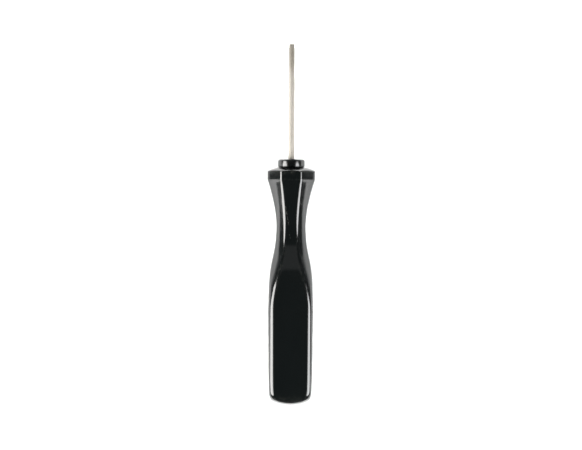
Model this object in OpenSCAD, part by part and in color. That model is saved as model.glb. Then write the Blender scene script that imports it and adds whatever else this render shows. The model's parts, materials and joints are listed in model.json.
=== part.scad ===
// Spring bar tool: a thin steel blade with a forked tip, a small turned collar,
// and a moulded handle with eight faces that run into a squarer barrel.
//
// Each piece is drawn on the tool's own axis: +Z towards the tip, and the handle's nose face at zero.
// lay_down() then rests the tool on the XY plane, with the tip towards +Y.

/* [Blade] */
// Length of blade that stands out of the collar
blade_out = 26.5; // [18:0.5:40]
// Length of blade that is held behind the handle's nose face
blade_in = 18; // [13:0.5:24]
// Diameter of the blade
blade_d = 1.45; // [1.2:0.05:1.8]
// Diameter of the ground tip
tip_d = 1.3; // [1:0.05:1.8]
// Length of the ground tip
tip_len = 7.2; // [4:0.1:12]
// Length over which the blade narrows to the ground tip
tip_taper = 1; // [0.8:0.1:3]
// Width of the notch between the fork's prongs
notch_w = 0.55; // [0.35:0.05:0.7]
// Depth of the notch
notch_depth = 0.9; // [0.5:0.1:1.5]
// Chamfer round the end of the prongs
tip_chamfer = 0.08; // [0.04:0.02:0.14]
// Width across the wings that are squeezed out of the blade's hidden end
wing_w = 2.4; // [1.9:0.1:3.2]
// Thickness of the wings
wing_t = 0.8; // [0.5:0.1:1.1]
// Length of the wings
wing_len = 4.5; // [2:0.5:8]
// Length of the locking groove that the collar's lip fills
groove_len = 0.8; // [0.7:0.1:1.2]
// Depth of the locking groove
groove_depth = 0.18; // [0.16:0.02:0.3]

/* [Collar] */
// Diameter of the collar's disc
collar_d = 6.2; // [4.8:0.1:7.2]
// Thickness of the disc
collar_h = 1.85; // [1.3:0.05:3]
// Chamfer on the disc's front edge
collar_front_chamfer = 0.3; // [0.1:0.05:0.4]
// Chamfer under the disc, which leaves a dark groove above the handle
collar_back_chamfer = 0.35; // [0.1:0.05:0.4]
// Diameter of the spigot that is pressed into the handle's nose
spigot_d = 3.4; // [2.8:0.1:4]
// Length of the spigot
spigot_len = 2.4; // [1.5:0.1:4]

/* [Handle widths] */
// Width across the flats of the flared band behind the nose
flare_w = 10.9; // [9.4:0.1:13.1]
// Width across the flats of the waist
waist_w = 6.8; // [5.6:0.1:8.2]
// Width across the flats of the barrel at its crest
barrel_w = 10.3; // [9:0.1:12.4]
// Width across the barrel's corners
corner_w = 13.2; // [12.4:0.1:14.2]
// How far the end of the neck lies inside the plane of each flat
neck_relief = 0.14; // [0.02:0.02:0.4]
// How far each flat draws in from its own plane by the time it reaches the butt
butt_draw = 0.14; // [0.02:0.02:0.8]

/* [Handle lengths] */
// Length of the handle, from its nose face to the butt
handle_len = 54.8; // [46:0.1:70]
// From the nose face to the back edge of the flared band
flare_len = 2.8; // [2:0.1:4]
// From the nose face to the waist
waist_at = 13.7; // [11:0.1:16]
// From the nose face to the end of the neck
neck_len = 27.7; // [24:0.1:30]
// From the nose face to the barrel's crest
crest_at = 33.3; // [32:0.1:36]
// From the nose face to the top of the arch on each flat
arch_at = 23.2; // [20:0.1:26]
// Length of the arch, from its top to where the flat has its full width
arch_len = 9; // [4:0.1:11]
// Length at the butt where the flats draw in
draw_len = 7.7; // [4:0.1:10]

/* [Handle ends] */
// Diameter of the flat nose face that the collar sits on
nose_d = 6.5; // [5.5:0.1:7.8]
// Radius of the domed shoulder behind the nose face
shoulder_r = 12.5; // [9:0.5:18]
// Radius of the domed butt
butt_r = 10; // [8:0.1:14]
// Bevel round the shoulder's edge, measured along the axis
shoulder_bevel = 0.3; // [0.1:0.05:0.6]
// Bevel round the butt's edge, measured along the axis
butt_bevel = 0.6; // [0.1:0.05:0.8]

/* [Fits] */
// Gap round the blade in the collar and the handle
blade_gap = 0.02; // [0.01:0.01:0.06]
// Gap round the spigot in the handle
spigot_gap = 0.02; // [0.01:0.01:0.06]
// Air left behind the spigot in its pocket
pocket_air = 0.2; // [0.1:0.1:1]

/* [Hidden] */
$fn = 96;
// Facets along each curved stretch of the handle's outline
neck_facets = 14;
swell_facets = 14;
arch_facets = 10;
// How far a cutting shape runs past the face that it cuts
past = 1;

// Larger than any radius of the handle
reach = 0.6 * max(flare_w, barrel_w, corner_w);
groove_d = blade_d - 2 * groove_depth;

// How far an arc has moved sideways at a distance from where it runs along the axis. Turned round
// the axis, the same arc is a dome, and this is the dome's depth behind its own top.
function arc_rise(radius, distance) = radius - sqrt(radius * radius - distance * distance);

// Radius of an arc that starts along the axis and moves sideways by rise over the length run
function arc_radius(run, rise) = (run * run + rise * rise) / (2 * rise);

// Depth of the dome's missing top in front of the flat nose face
nose_cut = arc_rise(shoulder_r, nose_d / 2);
// All the places below that end in _from, _to, _at or _edge are distances behind the nose face.
// The flats begin where the domed shoulder would meet the flared band, and a bevel further back.
flats_from = arc_rise(shoulder_r, flare_w / 2) - nose_cut + shoulder_bevel;
draw_at = handle_len - draw_len;

// The tool rests on one long flat and on the flared band. The long flats lie in planes through
// the crest and the edge of the band that touches first, so that both meet the bench together.
rest_edge = barrel_w > flare_w ? flats_from : flare_len;
rest_angle = atan((flare_w - barrel_w) / 2 / (crest_at - rest_edge));
function flat_half(at) = flare_w / 2 - (at - rest_edge) * tan(rest_angle);

// In front of the waist the neck is one arc
front_r = arc_radius(waist_at - flare_len, (flare_w - waist_w) / 2);
function neck_front_half(at) = waist_w / 2 + arc_rise(front_r, waist_at - at);

// Behind the waist it is two equal arcs that bend opposite ways
neck_end_half = flat_half(neck_len) - neck_relief;
swell_run = (neck_len - waist_at) / 2;
swell_r = arc_radius(swell_run, (neck_end_half - waist_w / 2) / 2);

function swell_half(at) =
    at < waist_at + swell_run
    ? waist_w / 2 + arc_rise(swell_r, at - waist_at)
    : neck_end_half - arc_rise(swell_r, neck_len - at);

// Half the width across opposite flats at a distance behind the nose face
function half_width(at) =
    at <= flare_len ? flare_w / 2
    : at <= waist_at ? neck_front_half(at)
    : at <= neck_len ? swell_half(at)
    : at <= crest_at ? lookup(at, [[neck_len, neck_end_half], [crest_at, barrel_w / 2]])
    : at <= draw_at ? flat_half(at)
    : flat_half(at) - butt_draw * (at - draw_at) / draw_len;

// How far the diagonal faces stand back from the barrel's full corners
corner_rise = (corner_w - barrel_w) / 2;
arch_r = arc_radius(arch_len, corner_rise);
function arch_drop(at) =
    at >= arch_at + arch_len ? 0
    : at <= arch_at ? corner_rise
    : arc_rise(arch_r, arch_at + arch_len - at);

// Half the width across the diagonal faces: a regular octagon up to the arch, nearly square behind it
function half_diagonal(at) = half_width(at) + corner_rise - arch_drop(at);

// The flats end a bevel short of where they would meet the domed butt
flats_to = handle_len - arc_rise(butt_r, half_width(handle_len)) - butt_bevel;

function steps(from, to, count) = [for (i = [0 : count]) from + (to - from) * i / count];

// Where the outline of the flats changes direction, front to back
flat_stations = concat(
    [flats_from],
    steps(flare_len, waist_at, neck_facets),
    steps(waist_at + swell_run / swell_facets, neck_len, swell_facets),
    [crest_at, draw_at, flats_to]
);

// The same for the diagonal faces, a little apart from the flats' own so that no corners coincide
stagger = 0.37;
diagonal_stations = concat(
    [flats_from],
    steps(flare_len, waist_at + stagger, neck_facets),
    steps(waist_at + 2 * stagger, arch_at - stagger, swell_facets),
    steps(arch_at, arch_at + arch_len, arch_facets),
    [max(crest_at, arch_at + arch_len) + stagger, draw_at + stagger, flats_to]
);

// One side of an outline, from its widths at the stations, with a 45 degree bevel at each end
function side_points(widths) = concat(
    [[widths[0][0] - flats_from, 0]],
    widths,
    [[widths[len(widths) - 1][0] - (handle_len - flats_to), -handle_len]]
);

function mirrored(points) = [for (i = [len(points) - 1 : -1 : 0]) [-points[i][0], points[i][1]]];

module outline(points) {
    polygon(concat(points, mirrored(points)));
}

module flat_outline() {
    outline(side_points([for (at = flat_stations) [half_width(at), -at]]));
}

module diagonal_outline() {
    outline(side_points([for (at = diagonal_stations) [half_diagonal(at), -at]]));
}

// Extends an outline in the XZ plane sideways, past the handle on both sides
module across(turn) {
    rotate([0, 0, turn])
        rotate([90, 0, 0])
            linear_extrude(height = 3 * reach, center = true)
                children();
}

// The handle's turned limits: a flat nose face, a domed shoulder and a domed butt
module turned_limits() {
    shoulder_centre = shoulder_r - nose_cut;
    rotate_extrude()
        intersection() {
            translate([0, -handle_len])
                square([reach, handle_len]);
            union() {
                translate([0, -shoulder_centre])
                    circle(r = shoulder_r);
                translate([0, -2 * handle_len])
                    square([2 * shoulder_r, 2 * handle_len - shoulder_centre]);
            }
            union() {
                translate([0, butt_r - handle_len])
                    circle(r = butt_r);
                translate([0, butt_r - handle_len])
                    square([2 * butt_r, 2 * handle_len]);
            }
        }
}

// The wings that keep the blade from turning or pulling out, made larger all round by a gap
module wings(gap) {
    translate([-wing_w / 2 - gap, -wing_t / 2 - gap, -blade_in])
        cube([wing_w + 2 * gap, wing_t + 2 * gap, wing_len + gap]);
}

module lay_down() {
    overall = collar_h + blade_out + handle_len;
    translate([
        0,
        (handle_len - overall / 2) * cos(rest_angle),
        flare_w / 2 * cos(rest_angle) + rest_edge * sin(rest_angle)
    ])
        rotate([rest_angle - 90, 0, 0])
            children();
}

module handle() {
    color([0.07, 0.08, 0.08])
        lay_down()
            difference() {
                intersection() {
                    turned_limits();
                    across(0) flat_outline();
                    across(90) flat_outline();
                    across(45) diagonal_outline();
                    across(135) diagonal_outline();
                }
                translate([0, 0, -spigot_len - pocket_air])
                    cylinder(h = spigot_len + pocket_air + past, d = spigot_d + 2 * spigot_gap);
                translate([0, 0, -blade_in])
                    cylinder(h = blade_in + past, d = blade_d + 2 * blade_gap);
                wings(blade_gap);
            }
}

module nose_collar() {
    color([0.14, 0.14, 0.15])
        lay_down()
            difference() {
                union() {
                    translate([0, 0, -spigot_len])
                        cylinder(h = spigot_len + collar_h / 2, d = spigot_d);
                    cylinder(
                        h = collar_back_chamfer,
                        d1 = collar_d - 2 * collar_back_chamfer,
                        d2 = collar_d
                    );
                    translate([0, 0, collar_back_chamfer])
                        cylinder(
                            h = collar_h - collar_back_chamfer - collar_front_chamfer,
                            d = collar_d
                        );
                    translate([0, 0, collar_h - collar_front_chamfer])
                        cylinder(
                            h = collar_front_chamfer,
                            d1 = collar_d,
                            d2 = collar_d - 2 * collar_front_chamfer
                        );
                }
                translate([0, 0, -spigot_len - past])
                    cylinder(
                        h = past + spigot_len + collar_h - groove_len,
                        d = blade_d + 2 * blade_gap
                    );
                cylinder(h = collar_h + past, d = groove_d + 2 * blade_gap);
            }
}

module blade() {
    front = collar_h + blade_out;
    groove_at = collar_h - groove_len;
    narrow_at = front - tip_len - tip_taper;
    color([0.78, 0.77, 0.74])
        lay_down()
            difference() {
                union() {
                    wings(0);
                    translate([0, 0, -blade_in])
                        cylinder(h = blade_in + groove_at, d = blade_d);
                    translate([0, 0, groove_at])
                        cylinder(h = groove_len, d = groove_d);
                    translate([0, 0, collar_h])
                        cylinder(h = narrow_at - collar_h, d = blade_d);
                    translate([0, 0, narrow_at])
                        cylinder(h = tip_taper, d1 = blade_d, d2 = tip_d);
                    translate([0, 0, front - tip_len])
                        cylinder(h = tip_len - tip_chamfer, d = tip_d);
                    translate([0, 0, front - tip_chamfer])
                        cylinder(h = tip_chamfer, d1 = tip_d, d2 = tip_d - 2 * tip_chamfer);
                }
                translate([-blade_d, -notch_w / 2, front - notch_depth])
                    cube([2 * blade_d, notch_w, notch_depth + past]);
            }
}

handle();
nose_collar();
blade();
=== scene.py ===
# %% [markdown]
# A spring bar tool is a small watchmaker's tool: a thin steel blade with a forked
# tip, a turned collar, and a waisted black handle. This lesson models its three
# pieces as surfaces worked out with numpy, gives each a finish made of shader
# nodes, and lights them in a plain studio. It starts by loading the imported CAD
# model, which fixes the overall size and where each piece sits.

# %% Load the frame
import json
import math

import bmesh
import bpy
import numpy as np
from mathutils import Matrix


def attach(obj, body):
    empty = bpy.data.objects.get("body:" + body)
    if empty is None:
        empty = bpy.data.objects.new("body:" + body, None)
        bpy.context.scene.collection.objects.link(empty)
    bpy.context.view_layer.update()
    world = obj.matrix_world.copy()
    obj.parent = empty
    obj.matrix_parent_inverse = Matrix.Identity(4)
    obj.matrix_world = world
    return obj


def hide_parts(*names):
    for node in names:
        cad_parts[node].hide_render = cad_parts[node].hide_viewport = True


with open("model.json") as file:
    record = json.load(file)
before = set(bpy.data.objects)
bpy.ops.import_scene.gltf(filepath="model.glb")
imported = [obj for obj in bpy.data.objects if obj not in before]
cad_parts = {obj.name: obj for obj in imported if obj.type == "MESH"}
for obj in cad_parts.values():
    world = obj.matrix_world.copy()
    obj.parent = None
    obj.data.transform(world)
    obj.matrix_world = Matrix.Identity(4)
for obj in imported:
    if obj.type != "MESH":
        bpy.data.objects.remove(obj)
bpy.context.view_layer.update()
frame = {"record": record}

# %% [markdown]
# The tool lies on the bench, tipped by half a degree because its flared band is
# wider than its barrel. It is easiest to draw a long tool along its own axis, so
# every piece below is worked out in millimetres as across, up and behind: behind
# is the distance behind the handle's nose face, so the blade has negative
# values. The record's blade mount gives the axis and one point on it, and these
# three directions carry the drawing into the shared frame.

# %% The tool's own axis
MM = 0.001
COLLAR_THICK = 1.85
shank = next(m for m in frame["record"]["mounts"] if m["name"] == "rack_shank")
# The blade mount starts at the collar's front face, and its point is halfway along it
shank_middle = COLLAR_THICK + shank["dims"]["length_mm"] / 2
forward = np.array(shank["axis"]) / np.linalg.norm(shank["axis"])
across = np.array([1.0, 0.0, 0.0])
upward = np.cross(across, forward)
nose_centre = np.array(shank["pos_m"]) - shank_middle * MM * forward


def place(x, y, behind):
    """Point = nose centre + x along across + y along upward - behind along forward."""
    x, y, behind = np.broadcast_arrays(x, y, behind)
    steps = x[..., None] * across + y[..., None] * upward - behind[..., None] * forward
    return nose_centre + MM * steps


tipped = math.degrees(math.asin(forward[2]))
print("nose centre", nose_centre.round(6), "tipped", round(tipped, 3), "degrees")

# %% [markdown]
# All three pieces are skins on a grid: one direction runs round the tool and the
# other along it. One helper turns such a grid into a closed mesh. Where a row
# shrinks to a point, or two columns meet, merging doubles closes the seam or
# pole. Normals are then recalculated so that every face points outwards, and
# only real corners are left sharp.

# %% From a grid of points to a closed skin
SHARP = math.radians(38)
MERGE = 2e-7  # metres, far below any real gap between points


def weave(shape, first, columns_meet, rows_meet):
    """Quads between neighbouring points; a wrapped direction joins its last line to its first."""
    index = first + np.arange(shape[0] * shape[1]).reshape(shape)
    if rows_meet:
        index = np.vstack([index, index[:1]])
    if columns_meet:
        index = np.hstack([index, index[:, :1]])
    corners = [index[:-1, :-1], index[:-1, 1:], index[1:, 1:], index[1:, :-1]]
    return np.stack(corners, axis=-1).reshape(-1, 4)


def close(mesh):
    """Merge coincident points, face outwards, and keep only corners above SHARP as edges."""
    work = bmesh.new()
    work.from_mesh(mesh)
    bmesh.ops.remove_doubles(work, verts=work.verts, dist=MERGE)
    bmesh.ops.recalc_face_normals(work, faces=work.faces)
    loose = sum(1 for edge in work.edges if not edge.is_manifold)
    work.to_mesh(mesh)
    work.free()
    mesh.polygons.foreach_set("use_smooth", np.ones(len(mesh.polygons), dtype=bool))
    mesh.set_sharp_from_angle(angle=SHARP)
    return loose


def skin(name, *patches):
    """One mesh from patches, each a grid, whether its columns and rows wrap, and its rubbing."""
    points, quads, rubbed, first = [], [], [], 0
    for grid, columns_meet, rows_meet, wear in patches:
        shape = grid.shape[:2]
        points.append(grid.reshape(-1, 3))
        quads.append(weave(shape, first, columns_meet, rows_meet))
        rubbed.append(np.broadcast_to(wear, shape).ravel())
        first += shape[0] * shape[1]
    mesh = bpy.data.meshes.new(name)
    mesh.from_pydata(np.concatenate(points).tolist(), [], np.concatenate(quads).tolist())
    layer = mesh.attributes.new("rubbed", "FLOAT", "POINT")
    layer.data.foreach_set("value", np.concatenate(rubbed).astype(np.float32))
    loose = close(mesh)
    piece = bpy.data.objects.new(name, mesh)
    bpy.context.scene.collection.objects.link(piece)
    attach(piece, "root")
    print(name, len(mesh.vertices), "points,", len(mesh.polygons), "faces,", loose, "open edges")
    return piece


# %% [markdown]
# The handle's cross-section is an octagon whose corners are rounded, as a mould
# leaves them. Four of its sides are the broad flats and four are the diagonals.
# An outline with true fillets is made by shrinking the octagon by the fillet's
# radius and carrying a circle round it. Where the diagonals stand far enough
# out, they vanish and the outline becomes a rounded square, which is how the
# neck turns into the barrel. With no octagon left at all it is a plain circle.

# %% One rounded outline for every cross-section
TURN = math.pi / 4
FLAT_STEPS = 8
CORNER_STEPS = 9


def outline(side, top, diagonal, fillet):
    """Points = corner of the shrunk octagon + fillet * direction of the normal, all the way round.

    Each corner lies where the lines of two neighbouring sides cross: the first
    side's distance along its normal, plus the stretch along it that reaches the
    second side.
    """
    lengths = map(np.atleast_1d, (side, top, diagonal, fillet))
    side, top, diagonal, fillet = np.broadcast_arrays(*lengths)
    near_side, near_top = side - fillet, top - fillet
    near_diagonal = np.minimum(diagonal - fillet, (near_side + near_top) / math.sqrt(2))
    reach = np.stack([near_side, near_diagonal, near_top, near_diagonal] * 2, axis=1)
    angles = np.arange(8) * TURN
    normals = np.stack([np.cos(angles), np.sin(angles)], axis=1)
    tangents = np.stack([-np.sin(angles), np.cos(angles)], axis=1)
    stretch = (np.roll(reach, -1, axis=1) - reach * math.cos(TURN)) / math.sin(TURN)
    corners = reach[..., None] * normals + stretch[..., None] * tangents
    before = np.roll(corners, 1, axis=1)
    share = (np.arange(FLAT_STEPS) / FLAT_STEPS)[:, None]
    flats = before[:, :, None] * (1 - share) + corners[:, :, None] * share
    flats = flats + fillet[:, None, None, None] * normals[:, None]
    bend = angles[:, None] + TURN * np.arange(CORNER_STEPS) / CORNER_STEPS
    rounds = np.stack([np.cos(bend), np.sin(bend)], axis=-1)
    rounds = corners[:, :, None] + fillet[:, None, None, None] * rounds
    points = np.concatenate([flats, rounds], axis=2)
    return points.reshape(len(side), -1, 2)


columns = 8 * (FLAT_STEPS + CORNER_STEPS)
print("points round the handle", columns)

# %% [markdown]
# Along the tool the flats follow a few curves, each a function of the distance
# behind the nose face: a short band, a hollow down to the waist, an S made of two
# equal arcs up to the barrel, and then almost straight to the butt. The S, the
# barrel and the butt are the CAD model's own. The hollow is a hyperbola and the
# diagonals rise in a smooth step, where the CAD model has plain arcs, so there
# the skin stands up to a third of a millimetre further out. An arc for the
# diagonals would start with a kink, which glossy plastic shows as a crease.

# %% Sizes of the handle, in millimetres
LENGTH, BAND, WAIST_AT, NECK_END, CREST = 54.8, 2.8, 13.7, 27.7, 33.3
FLARE_W, WAIST_W, BARREL_W, CORNER_W = 10.9, 6.8, 10.3, 13.2
ARCH_AT, ARCH_RUN = 19.0, 13.3
NECK_RELIEF, BUTT_DRAW, DRAW_RUN = 0.14, 0.14, 7.7
FRONT_DRAW, FRONT_RUN = 0.02, 2.2


def rise(radius, distance):
    """How far an arc has left its tangent: radius - square root of (radius^2 - distance^2)."""
    return radius - np.sqrt(np.maximum(radius**2 - distance**2, 0))


def arc_through(run, lift):
    """Radius of an arc that moves sideways by lift over run: (run^2 + lift^2) / (2 lift)."""
    return (run**2 + lift**2) / (2 * lift)


slope = (FLARE_W - BARREL_W) / 2 / (CREST - BAND)


def bench_half(at):
    """Half width of the plane that both the band's edge and the crest touch: a straight line."""
    return FLARE_W / 2 - (at - BAND) * slope


neck_end_half = bench_half(NECK_END) - NECK_RELIEF
swell_run = (NECK_END - WAIST_AT) / 2
swell = arc_through(swell_run, (neck_end_half - WAIST_W / 2) / 2)


def half_width(at):
    """Band, hollow, two opposite arcs, straight to the crest, then the bench's plane drawn in.

    The hollow's half width is the root of waist^2 + (flare^2 - waist^2) share^2,
    where share goes from 0 at the waist to 1 at the band: a hyperbola, which is
    straighter near the band than an arc would be.
    """
    share = (WAIST_AT - at) / (WAIST_AT - BAND)
    draw = np.clip((at - (LENGTH - DRAW_RUN)) / DRAW_RUN, 0, None)
    places = [at <= BAND, at <= WAIST_AT, at <= WAIST_AT + swell_run, at <= NECK_END, at <= CREST]
    to_crest = (at - NECK_END) / (CREST - NECK_END)
    shapes = [
        FLARE_W / 2 - FRONT_DRAW * np.clip(1 - at / FRONT_RUN, 0, 1),
        np.sqrt(WAIST_W**2 + (FLARE_W**2 - WAIST_W**2) * share**2) / 2,
        WAIST_W / 2 + rise(swell, at - WAIST_AT),
        neck_end_half - rise(swell, NECK_END - at),
        neck_end_half + to_crest * (BARREL_W / 2 - neck_end_half),
    ]
    return np.select(places, shapes, bench_half(at) - BUTT_DRAW * draw)


corner_rise = (CORNER_W - BARREL_W) / 2


def soft_min(one, other, soft):
    """The smaller length, less (soft - difference)^2 / (4 soft) where the two are nearly equal."""
    overlap = np.maximum(soft - np.abs(one - other), 0)
    return np.minimum(one, other) - overlap**2 / (4 * soft)


def smooth(start, run, at):
    """s^2 (3 - 2 s), where s goes from 0 at start to 1 at start + run: a step with no corners."""
    share = np.clip((at - start) / run, 0, 1)
    return share**2 * (3 - 2 * share)


def half_diagonal(at):
    """The flats' half width, plus a smooth rise from nothing up to the full corners."""
    return half_width(at) + corner_rise * smooth(ARCH_AT, ARCH_RUN, at)


def hump(at, middle, spread):
    """e^-((at - middle) / spread)^2: 1 at the middle, fading smoothly to 0 on both sides."""
    return np.exp(-(((at - middle) / spread) ** 2))


print("swell radius", round(swell, 2), "mm")

# %% [markdown]
# A turned dome closes each end: the shoulder behind the nose face, and the butt.
# Mould and polishing wheel leave no knife edge there, so the skin takes a soft
# minimum of the outline and the dome, which rounds the edge where they meet. The
# rows are close together wherever the surface bends quickly.

# %% Rows of the handle's skin
SHOULDER_R, SHOULDER_SOFT, NOSE_R = 13.5, 0.18, 3.25
BUTT_R, BUTT_SOFT = 10.0, 1.5
CROWN, CROWN_END, CROWN_FADE, CROWN_START = 0.010, 30.0, 4.0, 1.0
NECK_FILLET, BARREL_FILLET, ARCH_FILLET = 1.1, 1.45, 0.6
FILLET_FROM, FILLET_RUN = 16.0, 12.0
ARCH_TOP, ARCH_SPREAD = 26.5, 3.0
BUTT_CAP, BUTT_CAP_ROWS, CROWDED = 1.3, 26, 0.9
STRETCHES = [
    # first and last distance behind the nose face, and rows
    (LENGTH - 1.36, LENGTH - 4.2, 40),
    (50.2, 34.0, 30),
    (33.6, 20.0, 84),
    (19.8, 3.1, 80),
]
BAND_ROWS = [2.98, 2.9, 2.86, 2.83, 2.8, 2.77, 2.74, 2.68, 2.5, 2.2, 1.9]
NOSE_STRETCH = (1.7, 0.0, 34)
SPIGOT_HOLE, SPIGOT_DEPTH = 1.72, 2.6
BORE, WING_TOP, WING_END = 0.745, 13.48, 18.0
WING_SIDE, WING_UP = 1.22, 0.42


def dome_radius(radius, depth):
    """Radius of a ball's section below its top: root of depth (2 radius - depth).

    Below the ball's middle it goes on as a cylinder.
    """
    depth = np.minimum(depth, radius)
    return np.sqrt(np.maximum(depth * (2 * radius - depth), 0))


butt_angle = np.linspace(0, 1, BUTT_CAP_ROWS) ** CROWDED * math.acos(1 - BUTT_CAP / BUTT_R)
behind = np.concatenate([
    LENGTH - BUTT_R * (1 - np.cos(butt_angle)),
    *[np.linspace(*stretch) for stretch in STRETCHES],
    np.array(BAND_ROWS),
    np.linspace(*NOSE_STRETCH),
])
fillet = NECK_FILLET + (BARREL_FILLET - NECK_FILLET) * smooth(FILLET_FROM, FILLET_RUN, behind)
fillet = fillet + ARCH_FILLET * hump(behind, ARCH_TOP, ARCH_SPREAD)
wall = outline(half_width(behind), half_width(behind), half_diagonal(behind), fillet)
wall_radius = np.linalg.norm(wall, axis=2)
shoulder_top = rise(SHOULDER_R, NOSE_R)
shoulder = dome_radius(SHOULDER_R, behind + shoulder_top)[:, None]
butt = dome_radius(BUTT_R, LENGTH - behind)[:, None]
radius = soft_min(soft_min(wall_radius, shoulder, SHOULDER_SOFT), butt, BUTT_SOFT)
radius = np.where(behind[:, None] > LENGTH - 1e-9, 0, np.maximum(radius, 0))
angle = np.arctan2(wall[..., 1], wall[..., 0])
crowned = np.clip((CROWN_END - behind) / CROWN_FADE, 0, 1) * smooth(BAND, CROWN_START, behind)
radius = radius * (1 + CROWN * crowned[:, None] * (np.cos(8 * angle) - 1) / 2)
outer = wall * (radius / wall_radius)[..., None]
print("rows along the outside", len(behind))

# %% [markdown]
# The same skin goes on over the nose face and down the hole that the collar's
# spigot is pressed into, then along the blade's bore to the slot that holds its
# wings. These inner walls are hidden, but with them the handle is one closed
# moulding with a real socket, not a painted-on black disc. Each point also keeps
# a number that says how rubbed it is: the corners, both ends and the band's back
# edge wear first, and the finish reads that number later.

# %% The socket in the nose, and the finished handle
SOCKET_EASE = 0.08
CORNER_WEAR, CREASE_WEAR, CREASE_SPREAD = 0.6, 0.8, 0.12
SHOULDER_WEAR_AT, SHOULDER_WEAR_SPREAD = 1.0, 0.5
BUTT_WEAR_AT, BUTT_WEAR_SPREAD = 53.3, 0.7
mouth = SPIGOT_HOLE + SOCKET_EASE
socket = np.array([
    # side, top, fillet, behind
    (2.6, 2.6, 2.6, 0.0),
    (mouth, mouth, mouth, 0.0),
    (SPIGOT_HOLE, SPIGOT_HOLE, SPIGOT_HOLE, SOCKET_EASE),
    (SPIGOT_HOLE, SPIGOT_HOLE, SPIGOT_HOLE, SPIGOT_DEPTH),
    (BORE, BORE, BORE, SPIGOT_DEPTH),
    (BORE, BORE, BORE, WING_TOP),
    (WING_SIDE, WING_UP, 0.1, WING_TOP),
    (WING_SIDE, WING_UP, 0.1, WING_END),
    (0.0, 0.0, 0.0, WING_END),
])
no_diagonal = np.full(len(socket), 9.0)  # so far out that the diagonals vanish
inner = outline(socket[:, 0], socket[:, 1], no_diagonal, socket[:, 2])
both = np.concatenate([outer, inner])
depth = np.concatenate([behind, socket[:, 3]])[:, None]

column = np.arange(columns) % (FLAT_STEPS + CORNER_STEPS)
from_corner = np.abs(column - FLAT_STEPS - CORNER_STEPS / 2) / (CORNER_STEPS / 2)
on_corner = np.clip(1 - from_corner, 0, 1)
at_shoulder = hump(depth, SHOULDER_WEAR_AT, SHOULDER_WEAR_SPREAD)
at_butt = hump(depth, BUTT_WEAR_AT, BUTT_WEAR_SPREAD)
crease = CREASE_WEAR * hump(depth, BAND, CREASE_SPREAD)
rubbed = np.clip(CORNER_WEAR * on_corner + (at_shoulder + at_butt) + crease, 0, 1)

handle_grid = place(both[..., 0], both[..., 1], depth)
handle = skin("handle_moulding", (handle_grid, True, False, rubbed))
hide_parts("handle")

# %% [markdown]
# The collar is turned, so its skin is a profile carried once round the axis. The
# profile is a short list of corners, each cut back and bridged by a small arc:
# no turned edge is perfectly sharp, and the tiny rounds are what catches light.

# %% The collar
LIP_BACK, LIP_R = 1.05, 0.565
COLLAR_R, FRONT_BEVEL, SPIGOT_R, SPIGOT_LEN = 3.1, 0.3, 1.7, 2.4


def eased(corners, radii, steps=5):
    """Each corner becomes a curve: (1-t)^2 start + 2t(1-t) corner + t^2 end, t from 0 to 1."""
    corners, radii = np.array(corners), np.array(radii)
    into = corners - np.roll(corners, 1, axis=0)
    out = np.roll(corners, -1, axis=0) - corners
    into = into / np.linalg.norm(into, axis=1)[:, None]
    out = out / np.linalg.norm(out, axis=1)[:, None]
    start, end = corners - into * radii[:, None], corners + out * radii[:, None]
    t = np.linspace(0, 1, steps)[None, :, None]
    curve = (1 - t) ** 2 * start[:, None] + 2 * t * (1 - t) * corners[:, None]
    curve = curve + t**2 * end[:, None]
    return curve.reshape(-1, 2)


def turned(profile, count=144):
    """Every profile point (radius, behind) goes to radius * (cos, sin) at each angle round the axis."""
    angle = np.arange(count) * 2 * math.pi / count
    radius, at = profile[:, :1], profile[:, 1:]
    return place(radius * np.cos(angle), radius * np.sin(angle), at)


collar_profile = eased(
    [
        # radius, behind: bore, lip and front face; front bevel and rim; back edge; spigot
        (BORE, SPIGOT_LEN), (BORE, -LIP_BACK), (LIP_R, -LIP_BACK), (LIP_R, -COLLAR_THICK),
        (COLLAR_R - FRONT_BEVEL, -COLLAR_THICK), (COLLAR_R, FRONT_BEVEL - COLLAR_THICK),
        (COLLAR_R, -0.3), (3.03, -0.27), (3.03, -0.2), (2.83, 0.0),
        (SPIGOT_R, 0.0), (SPIGOT_R, SPIGOT_LEN),
    ],
    [0.02, 0.02, 0.02, 0.04, 0.09, 0.09, 0.03, 0.01, 0.02, 0.04, 0.02, 0.08],
)
collar = skin("turned_collar", (turned(collar_profile), True, True, 0.0))
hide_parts("nose_collar")

# %% [markdown]
# The blade is a drawn steel rod. Its hidden end is squeezed into two flat wings
# that stop it turning, a groove locks it in the collar, and its visible end is
# ground a little thinner and sawn into a fork, whose two prongs straddle the
# flange of a watch's spring bar. The rod is again rows of one outline. Its points
# are spread so that four of them lie exactly on the notch's edges.

# %% Sizes of the blade and the points round it
BLADE_R, TIP_R, GROOVE_R = 0.725, 0.65, 0.545
TIP_END, NOTCH_FLOOR, CHAMFER = -28.35, -27.45, 0.08
NOTCH_HALF = 0.275
split = math.asin(NOTCH_HALF / TIP_R)
low = np.linspace(0, split, 5)
high = np.linspace(split, math.pi / 2, 13)
quarter = np.concatenate([low, high[1:]])
half = np.concatenate([quarter, math.pi - quarter[-2::-1]])
round_angles = np.concatenate([half[:-1], math.pi + half[:-1]])


def squeezed(side, top, power):
    """A circle pressed towards a box: side * |cos|^(2/power), top * |sin|^(2/power), signs kept."""
    c, s = np.cos(round_angles), np.sin(round_angles)
    x = side[:, None] * np.sign(c) * np.abs(c) ** (2 / power[:, None])
    y = top[:, None] * np.sign(s) * np.abs(s) ** (2 / power[:, None])
    return x, y


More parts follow.
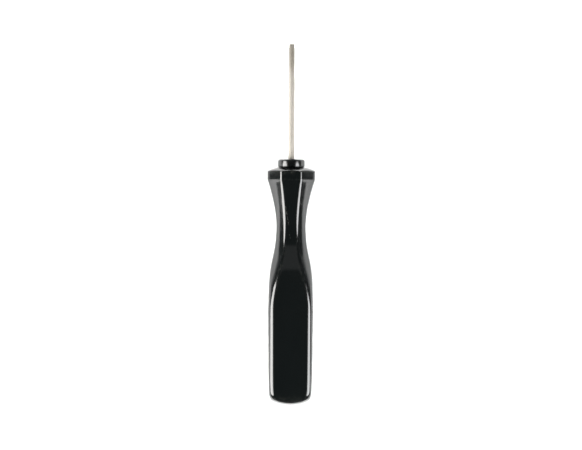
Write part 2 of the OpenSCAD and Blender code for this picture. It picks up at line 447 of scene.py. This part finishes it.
rod = np.array([
    # side, top, power, behind
    (0.0, 0.0, 2, WING_END), (1.1, 0.34, 5, WING_END),
    (1.2, 0.4, 5, 17.9), (1.2, 0.4, 5, 13.6), (1.1, 0.34, 5, 13.5),
    (BLADE_R, BLADE_R, 2, 13.5), (BLADE_R, BLADE_R, 2, 6.0), (BLADE_R, BLADE_R, 2, -LIP_BACK),
    (GROOVE_R, GROOVE_R, 2, -LIP_BACK), (GROOVE_R, GROOVE_R, 2, -COLLAR_THICK),
    (BLADE_R, BLADE_R, 2, -COLLAR_THICK), (BLADE_R, BLADE_R, 2, -8.0),
    (BLADE_R, BLADE_R, 2, -14.0), (BLADE_R, BLADE_R, 2, -20.0),
    (0.72, 0.72, 2, -20.25), (0.655, 0.655, 2, -21.05),
    (TIP_R, TIP_R, 2, -21.3), (TIP_R, TIP_R, 2, -24.5), (TIP_R, TIP_R, 2, NOTCH_FLOOR),
])
rod_x, rod_y = squeezed(rod[:, 0], rod[:, 1], rod[:, 2])
print("points round the blade", len(round_angles))

# %% [markdown]
# The fork splits the rod in two, so five patches finish it: the floor of the
# notch, and a wall and a flat end for each prong. One could cut the notch with a
# boolean, but that leaves untidy faces at the tip. These patches reuse the rod's
# own points along their shared edges, which is what lets the seams close.

# %% The fork
def prong_loop(radius, side):
    """An arc (r cos, r sin) from notch edge to notch edge, then back at (r cos, notch)."""
    start = math.asin(NOTCH_HALF / radius)
    bend = start + (math.pi - 2 * start) * (half[4:-4] - split) / (math.pi - 2 * split)
    arc = np.stack([radius * np.cos(bend), radius * np.sin(bend)], axis=1)
    wall = np.stack([arc[::-1, 0], np.full(len(arc), NOTCH_HALF)], axis=1)[1:-1]
    return np.concatenate([arc, wall]) * (1, side), arc * (1, side)


def prong(side):
    """A wall of three loops up to the chamfered end, and a strip that closes that end."""
    loops = [prong_loop(r, side)[0] for r in (TIP_R, TIP_R, TIP_R - CHAMFER)]
    at = np.array([NOTCH_FLOOR, TIP_END + CHAMFER, TIP_END])[:, None]
    loops = np.stack(loops)
    arc = prong_loop(TIP_R - CHAMFER, side)[1]
    edge = np.stack([arc[:, 0], np.full(len(arc), side * NOTCH_HALF)], axis=1)
    end = np.stack([arc, edge])
    wall = place(loops[..., 0], loops[..., 1], at)
    cap = place(end[..., 0], end[..., 1], TIP_END)
    return (wall, True, False, 1.0), (cap, False, False, 1.0)


tilt = np.concatenate([-low[:0:-1], low])
floor_y = TIP_R * np.sin(tilt)[:, None]
edge_x = prong_loop(TIP_R, 1)[1][:, 0]
floor_x = np.cos(tilt)[:, None] * edge_x / math.cos(split)
floor_patch = (place(floor_x, floor_y, NOTCH_FLOOR), False, False, 1.0)
rod_patch = (place(rod_x, rod_y, rod[:, 3:]), True, False, 0.0)
blade = skin("forked_blade", rod_patch, floor_patch, *prong(1), *prong(-1))
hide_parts("blade")

# %% [markdown]
# A finish is made of shader nodes, but sums of nodes are hard to read when each
# is wired by hand. This small class holds one socket and overloads the
# arithmetic signs, so that a formula in Python lays down the Math nodes for it.
# Everything that isn't arithmetic comes from one method, which takes a node's
# type, its settings and its sockets.

# %% A socket that can be used in sums
class Value:
    """One output socket of a material, with the signs + - * / and power."""

    def __init__(self, finish, socket):
        self.finish, self.socket = finish, socket

    def sum(self, operation, one, other):
        return self.finish.node("ShaderNodeMath", {"operation": operation}, {0: one, 1: other})

    def __add__(self, other):
        return self.sum("ADD", self, other)

    def __radd__(self, other):
        return self.sum("ADD", other, self)

    def __sub__(self, other):
        return self.sum("SUBTRACT", self, other)

    def __rsub__(self, other):
        return self.sum("SUBTRACT", other, self)

    def __mul__(self, other):
        return self.sum("MULTIPLY", self, other)

    def __rmul__(self, other):
        return self.sum("MULTIPLY", other, self)

    def __truediv__(self, other):
        return self.sum("DIVIDE", self, other)

    def __pow__(self, other):
        return self.sum("POWER", self, other)


# %% [markdown]
# A finish holds one material and its Principled shader. Its method called node
# makes any node, gives its settings and joins its sockets, and the short methods
# after it name the few things that these finishes ask for again and again: a
# noise, a soft step, a mix of two colours, the rubbed number and a bump.

# %% A finish and the one method that adds nodes to it
class Finish:
    """A material for one surface, its Principled shader, and a method for every other node."""

    def __init__(self, name, **constants):
        self.material = bpy.data.materials.new(name)
        self.material.use_nodes = True
        self.tree = self.material.node_tree
        self.shader = self.tree.nodes["Principled BSDF"]
        for label, value in constants.items():
            self.shader.inputs[label.replace("_", " ")].default_value = value
        self.spot = self.node("ShaderNodeTexCoord", out="Object")

    def node(self, kind, settings=None, sockets=None, out=0):
        """Make a node, set its settings first, then give or link each named socket."""
        made = self.tree.nodes.new(kind)
        for label, value in (settings or {}).items():
            if label == "stops":
                ramp = made.color_ramp.elements
                for i, (at, colour) in enumerate(value):
                    stop = ramp[i] if i < len(ramp) else ramp.new(at)
                    stop.position, stop.color = at, colour
            else:
                setattr(made, label, value)
        for label, value in (sockets or {}).items():
            if isinstance(value, Value):
                self.tree.links.new(value.socket, made.inputs[label])
            else:
                made.inputs[label].default_value = value
        return Value(self, made.outputs[out])

    def stretch(self, x, y, z):
        """The object's coordinates, each multiplied by its own number."""
        return self.node("ShaderNodeMapping", {}, {"Vector": self.spot, "Scale": (x, y, z)})

    def noise(self, where, scale, detail=2.0, roughness=0.5, distortion=0.0):
        words = {"Vector": where, "Scale": scale, "Detail": detail}
        words.update({"Roughness": roughness, "Distortion": distortion})
        return self.node("ShaderNodeTexNoise", {}, words, out="Fac")

    def ease(self, value, low, high):
        """0 below low, 1 above high, and a smooth step between."""
        words = {"Value": value, "From Min": low, "From Max": high}
        return self.node("ShaderNodeMapRange", {"interpolation_type": "SMOOTHSTEP"}, words)

    def blend(self, share, one, other):
        """A colour mixed from two colours."""
        words = {0: share, 6: one, 7: other}
        return self.node("ShaderNodeMix", {"data_type": "RGBA"}, words, out=2)

    def worn(self):
        return self.node("ShaderNodeAttribute", {"attribute_name": "rubbed"}, out="Fac")

    def feed(self, **links):
        for label, value in links.items():
            self.tree.links.new(value.socket, self.shader.inputs[label.replace("_", " ")])

    def bump(self, height, distance, strength=1.0):
        words = {"Height": height, "Distance": distance, "Strength": strength}
        return self.node("ShaderNodeBump", {}, words, out="Normal")


def most(one, other):
    """The larger of two values."""
    return one.sum("MAXIMUM", one, other)


print("maths on sockets ready")

# %% [markdown]
# The handle is moulded in glossy black plastic with a trace of blue-green. Its
# shine comes from the shader alone, but no moulding is a perfect mirror: the
# polished mould leaves a faint orange peel, the flats carry fine draw lines along
# the tool, fingers leave hair scratches, and the edges that rub in a drawer go
# slightly dull. Each of these is a layer here, at its own real size, and they
# meet in the roughness and in one bump height.

# %% Handle plastic
plastic = Finish("handle_plastic_finish", IOR=1.6, Specular_IOR_Level=0.5)
sideways_at = plastic.node("ShaderNodeSeparateXYZ", {}, {0: plastic.spot}, out="X")
axes = sideways_at.socket.node
along_at, above = Value(plastic, axes.outputs["Y"]), Value(plastic, axes.outputs["Z"])

lines = plastic.noise(plastic.stretch(1, 0.02, 1), 5200, 3, 0.6)
peel = plastic.noise(plastic.stretch(1, 0.55, 1), 620, 2, 0.5)
patches = plastic.noise(plastic.spot, 160, 3, 0.6, 0.6)
hairs = plastic.noise(plastic.stretch(1, 0.035, 1), 9000, 1, 0.5, 0.8)
hair_mask = plastic.ease(hairs, 0.66, 0.76) * plastic.ease(patches, 0.46, 0.62)
cells = {"Vector": plastic.spot, "Scale": 900.0}
specks = plastic.node("ShaderNodeTexVoronoi", {}, cells, out="Distance")
speck_mask = (1 - plastic.ease(specks, 0.05, 0.11)) * plastic.ease(patches, 0.52, 0.66)
rub = plastic.worn() * plastic.ease(plastic.noise(plastic.spot, 1500, 4, 0.7), 0.42, 0.7)


def scuff(start, end, width):
    """1 on a line and 0 away from it, by |p - start - t (end - start)| with t held in 0..1."""
    run = (end[0] - start[0], end[1] - start[1])
    length_2 = run[0] ** 2 + run[1] ** 2
    from_x, from_y = sideways_at - start[0], along_at - start[1]
    t = (from_x * run[0] + from_y * run[1]) / length_2
    t = plastic.node("ShaderNodeClamp", {}, {"Value": t})
    away = ((from_x - t * run[0]) ** 2 + (from_y - t * run[1]) ** 2) ** 0.5
    return 1 - plastic.ease(away, width * 0.3, width)


up_side = plastic.ease(above, 0.0060, 0.0066)
wobble = plastic.noise(plastic.spot, 2600, 3, 0.7)
long_scuff = scuff((-0.0013, 0.0046), (-0.00052, -0.0001), 0.00013)
short_scuff = scuff((-0.0004, -0.0022), (-0.00015, -0.0030), 0.00012)
scuffs = most(long_scuff, short_scuff) * plastic.ease(wobble, 0.44, 0.6) * up_side

deep = (0.0009, 0.0016, 0.0017, 1)
hazy = (0.0018, 0.0025, 0.0025, 1)
dry = (0.020, 0.021, 0.018, 1)
tint = plastic.blend(patches, deep, hazy)
tint = plastic.blend(most(rub * 0.55, scuffs * 0.9), tint, dry)
tint = plastic.blend(speck_mask * 0.25, tint, (0.05, 0.05, 0.045, 1))
gloss = 0.045 + patches * 0.05 + lines * 0.05 + hair_mask * 0.12 + rub * 0.16 + scuffs * 0.35
height = lines * 0.9 + peel * 3.2 - hair_mask * 1.2 - scuffs * 2.0 + speck_mask * 0.8
plastic.feed(Base_Color=tint, Roughness=gloss, Normal=plastic.bump(height, 0.0000016))
handle.data.materials.append(plastic.material)
print("handle finish:", len(plastic.tree.nodes), "nodes")

# %% [markdown]
# The collar is the same black, but turned and polished, so its marks run round
# it instead of along the tool: the noise is stretched in both directions across
# the axis and fine along it. Small greyer nicks are scattered over it at random.

# %% Collar plastic
polish = Finish("collar_plastic_finish", IOR=1.6, Specular_IOR_Level=0.5)
rings = polish.noise(polish.stretch(0.06, 1, 0.06), 7000, 3, 0.6)
cloud = polish.noise(polish.spot, 420, 3, 0.6)
nicks = polish.ease(polish.noise(polish.spot, 3200, 2, 0.6), 0.66, 0.74)
shade = polish.blend(cloud, (0.0007, 0.0010, 0.0011, 1), (0.0018, 0.0021, 0.0021, 1))
shade = polish.blend(nicks * 0.3, shade, (0.03, 0.03, 0.027, 1))
sheen = 0.11 + cloud * 0.07 + rings * 0.05 + nicks * 0.15
polish.feed(Base_Color=shade, Roughness=sheen)
polish.feed(Normal=polish.bump(rings * 1.0 + cloud * 1.6 - nicks, 0.0000016))
collar.data.materials.append(polish.material)
print("collar finish:", len(polish.tree.nodes), "nodes")

# %% [markdown]
# The blade is plain drawn steel with a warm cast: satin, with fine lines along it
# and a light mottle. The last eight millimetres are ground, which leaves short
# marks across the rod and a darker, patchier grey. Both zones share one material
# and meet in a soft, uneven edge, because a grinder's edge is never exact.

# %% Blade steel
steel = Finish("blade_steel_finish", Metallic=1.0)
steel_axes = steel.node("ShaderNodeSeparateXYZ", {}, {0: steel.spot}, out="Y")
drawn = steel.noise(steel.stretch(1, 0.03, 1), 9000, 3, 0.6)
mottle = steel.noise(steel.stretch(1, 0.6, 1), 2600, 4, 0.7)
pits = steel.ease(steel.noise(steel.spot, 5200, 2, 0.6), 0.60, 0.72)
marks = steel.noise(steel.stretch(0.12, 1, 0.12), 9000, 2, 0.6)
ground_edge = nose_centre[1] + 0.0212
ground = steel.ease(steel_axes + mottle * 0.0022, ground_edge, ground_edge + 0.0044)
clean = steel.blend(mottle, (0.39, 0.369, 0.335, 1), (0.52, 0.492, 0.449, 1))
stained = steel.blend(mottle, (0.20, 0.184, 0.158, 1), (0.44, 0.41, 0.355, 1))
metal = steel.blend(ground, clean, stained)
metal = steel.blend(pits * (0.25 + ground * 0.35), metal, (0.08, 0.07, 0.06, 1))
satin = 0.68 + mottle * 0.10 + drawn * 0.06 + ground * 0.04 + pits * 0.06
relief = drawn * 1.2 * (1 - ground * 0.6) + marks * ground * 2.0 + mottle * 1.5 - pits * 1.5
steel.feed(Base_Color=metal, Roughness=satin, Normal=steel.bump(relief, 0.0000022))
blade.data.materials.append(steel.material)
print("blade finish:", len(steel.tree.nodes), "nodes")

# %% [markdown]
# A glossy black tool is drawn by what it reflects. Two tall soft boxes stand to
# its left and right: each long corner of the handle, being round, shows them as
# one narrow bright strip, while the flats between look up into the dark. The
# boxes also flood the white floor, and the floor in turn lights the edges that
# turn away. A dim panel beyond the tip greys the swelling neck. Two small lights
# brighten the floor beside the tool. They are hidden from reflections, so they
# add no highlight of their own.

# %% Studio lights
SPREAD = math.radians(150)


def softbox(name, centre, facing, width, tall, radiance, colour=(1, 1, 1)):
    """A panel of even brightness: power = pi * width * tall * radiance.

    An ellipse of the same width and height has less area, so it looks 4 / pi brighter.
    """
    light = bpy.data.lights.new(name, "AREA")
    light.shape, light.size, light.size_y = "RECTANGLE", width, tall
    light.energy, light.color = math.pi * width * tall * radiance, colour
    lamp = bpy.data.objects.new(name, light)
    bpy.context.scene.collection.objects.link(lamp)
    back = -np.array(facing, dtype=float) / np.linalg.norm(facing)
    up = np.array([0.0, 0.0, 1.0]) if abs(back[2]) < 0.95 else np.array([0.0, 1.0, 0.0])
    sideways = np.cross(up, back)
    sideways /= np.linalg.norm(sideways)
    up = np.cross(back, sideways)
    turn = np.eye(4)
    turn[:3, 0], turn[:3, 1], turn[:3, 2], turn[:3, 3] = sideways, up, back, centre
    lamp.matrix_world = Matrix(turn.tolist())
    return lamp


def panel_beside(name, x, y_range, z_range, radiance, colour):
    """A vertical panel at x that faces the tool across the floor."""
    middle = (x, sum(y_range) / 2, sum(z_range) / 2)
    size = (y_range[1] - y_range[0], z_range[1] - z_range[0])
    return softbox(name, middle, (-x, 0, 0), size[0], size[1], radiance, colour)


warm, cool = (1.0, 0.99, 0.97), (0.98, 0.99, 1.0)
left_box = panel_beside("left_softbox", -0.22, (-0.225, 0.054), (0.018, 0.315), 8.1, warm)
right_box = panel_beside("right_softbox", 0.22, (-0.25, 0.028), (0.040, 0.33), 7.0, cool)
for box in (left_box, right_box):
    box.data.shape = "ELLIPSE"
    box.data.spread = SPREAD
softbox("tip_panel", (0, 0.62, 1.0), (0, -0.53, -0.85), 1.2, 0.75, 0.22)
for side, name in ((-1, "left_fill"), (1, "right_fill")):
    fill = softbox(name, (side * 0.12, -0.06, 0.10), (0, 0, -1), 0.10, 0.12, 7.0)
    fill.visible_glossy = False

# %% [markdown]
# The floor is white board, lit well past white, with only the faintest mottle so
# that it stays plain. It lies a hair below the bench plane, so that the tool's
# underside never shares a plane with it.

# %% Floor
FLOOR_SIZE, FLOOR_DROP = 12.0, 0.00003
bpy.ops.mesh.primitive_plane_add(size=FLOOR_SIZE, location=(0, 0, -FLOOR_DROP))
floor = bpy.context.object
floor.name = "floor"
board = Finish("floor_board", Roughness=0.9, Specular_IOR_Level=0.2)
fibre = board.noise(board.spot, 300, 3, 0.6)
board.feed(Base_Color=board.blend(fibre, (0.88, 0.88, 0.88, 1), (0.92, 0.92, 0.92, 1)))
floor.data.materials.append(board.material)
print("floor", FLOOR_SIZE, "m square")

# %% [markdown]
# A card of black felt lies behind the butt. The camera doesn't see it and it casts
# no shadow: it is there only for reflections, where it keeps the domed butt dark.
# A bare white floor would turn the dome grey.

# %% Black card
CARD_WIDE, CARD_LONG, CARD_MIDDLE, CARD_ABOVE = 0.6, 0.30, -0.2045, 0.0002
bpy.ops.mesh.primitive_plane_add(size=1.0)
flag = bpy.context.object
flag.name = "black_flag"
stretched = Matrix.Diagonal((CARD_WIDE, CARD_LONG, 1, 1))
flag.data.transform(Matrix.Translation((0, CARD_MIDDLE, CARD_ABOVE)) @ stretched)
flag.visible_camera = flag.visible_diffuse = flag.visible_shadow = False
felt = Finish("flag_felt", Roughness=0.9, Specular_IOR_Level=0.1)
nap = felt.noise(felt.spot, 900, 3, 0.6)
felt.feed(Base_Color=felt.blend(nap, (0.01, 0.01, 0.01, 1), (0.03, 0.03, 0.03, 1)))
flag.data.materials.append(felt.material)
print("card", CARD_WIDE, "by", CARD_LONG, "m")

# %% [markdown]
# The room is dark overhead and paler at the horizon, as a studio's walls are. A
# ramp on the height of the looking direction gives three greys between them.

# %% Room
GREYS = [(0.0, 0.15), (0.12, 0.13), (0.55, 0.07)]  # height of the look, brightness
room = bpy.data.worlds.new("room")
bpy.context.scene.world = room
room.use_nodes = True
sky = room.node_tree
look = sky.nodes.new("ShaderNodeTexCoord")
split_look = sky.nodes.new("ShaderNodeSeparateXYZ")
ramp = sky.nodes.new("ShaderNodeValToRGB")
sky.links.new(look.outputs["Generated"], split_look.inputs[0])
sky.links.new(split_look.outputs["Z"], ramp.inputs[0])
sky.links.new(ramp.outputs[0], sky.nodes["Background"].inputs["Color"])
ramp.color_ramp.elements.new(GREYS[1][0])
for stop, (at, grey) in zip(ramp.color_ramp.elements, GREYS):
    stop.position, stop.color = at, (grey, grey, grey, 1)
print("room greys", GREYS)

# %% [markdown]
# The tool is seen from straight above through a long lens, as on a copy stand,
# and the frame is turned by a third of a degree. A long lens far away keeps the
# sides of the tool from showing. Its height is worked out from the lens and the
# width that the view covers at the height of the tool's nose.

# %% Camera
VIEW_WIDTH, TURNED = 0.13386, 0.0051
camera_data = bpy.data.cameras.new("camera")
camera_data.lens, camera_data.sensor_width = 135.0, 36.0
distance = VIEW_WIDTH * camera_data.lens / camera_data.sensor_width
camera_data.clip_start, camera_data.clip_end = 0.01, 20.0
camera = bpy.data.objects.new("camera", camera_data)
bpy.context.scene.collection.objects.link(camera)
camera.location = (0.0, 0.0, float(nose_centre[2]) + distance)
camera.rotation_euler = (0, 0, TURNED)
bpy.context.scene.camera = camera
bpy.context.scene.view_settings.view_transform = "Standard"
print("camera", round(distance, 4), "m above the axis")
